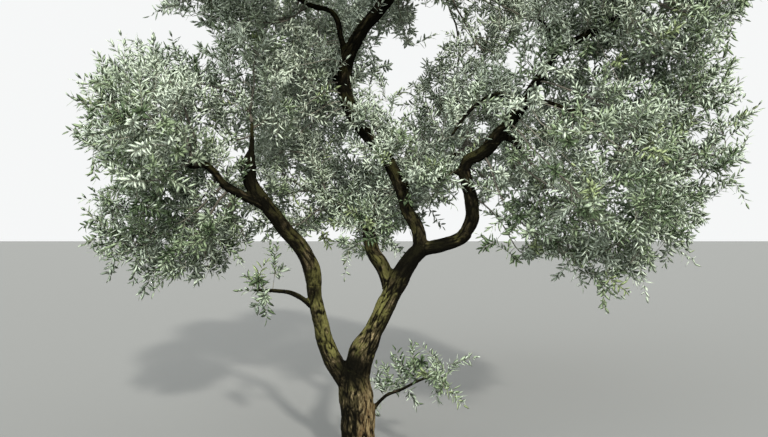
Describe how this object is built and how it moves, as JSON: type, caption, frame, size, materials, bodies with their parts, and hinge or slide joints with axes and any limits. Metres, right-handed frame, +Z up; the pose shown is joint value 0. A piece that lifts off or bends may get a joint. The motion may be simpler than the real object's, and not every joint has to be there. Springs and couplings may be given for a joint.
{
  "type": "olive tree",
  "caption": "Old olive tree with a short leaning trunk that forks low, crooked boughs and an open, silvery grey-green crown.",
  "frame": {"origin": "centre of the flat cut under the trunk, at ground level", "axes": "+Z up; the tree's front, the side that the picture shows, faces -Y, and +X is to the right in the picture"},
  "size_m": [4.8113, 3.9511, 5.1023],
  "materials": {
    "bark": "rough fissured bark with patches of moss",
    "foliage": "narrow leaves, grey-green above and silvery below"
  },
  "bodies": {
    "root": {"arched_branch": "bark", "back_left_limb": "bark", "back_left_mass": "foliage", "back_low_mass": "foliage", "back_right_mass": "foliage", "back_top_mass": "foliage", "centre_back_mass": "foliage", "centre_bough": "bark", "cross_branch": "bark", "crown_top_mass": "foliage", "front_left_limb": "bark", "front_left_low_mass": "foliage", "front_left_mass": "foliage", "front_limb": "bark", "front_right_limb": "bark", "front_right_low_mass": "foliage", "front_right_mass": "foliage", "front_top_mass": "foliage", "leader": "bark", "leader_side_limb": "bark", "left_back_mass": "foliage", "left_bough": "bark", "left_inner_mass": "foliage", "left_outer_mass": "foliage", "left_side_limb": "bark", "left_skirt_mass": "foliage", "left_top_mass": "foliage", "left_upright_limb": "bark", "low_left_branch": "bark", "low_right_shoot": "bark", "rear_limb": "bark", "right_back_limb": "bark", "right_back_mass": "foliage", "right_back_top_mass": "foliage", "right_fork_shoot": "bark", "right_inner_limb": "bark", "right_inner_mass": "foliage", "right_mid_limb": "bark", "right_mid_mass": "foliage", "right_outer_limb": "bark", "right_outer_mass": "foliage", "right_skirt_mass": "foliage", "right_stem": "bark", "right_top_mass": "foliage", "right_upper_limb": "bark", "top_back_limb": "bark", "top_back_mass": "foliage", "top_right_limb": "bark", "trunk": "bark", "u_limb_lower": "bark", "u_limb_upper": "bark"}
  },
  "joints": []
}
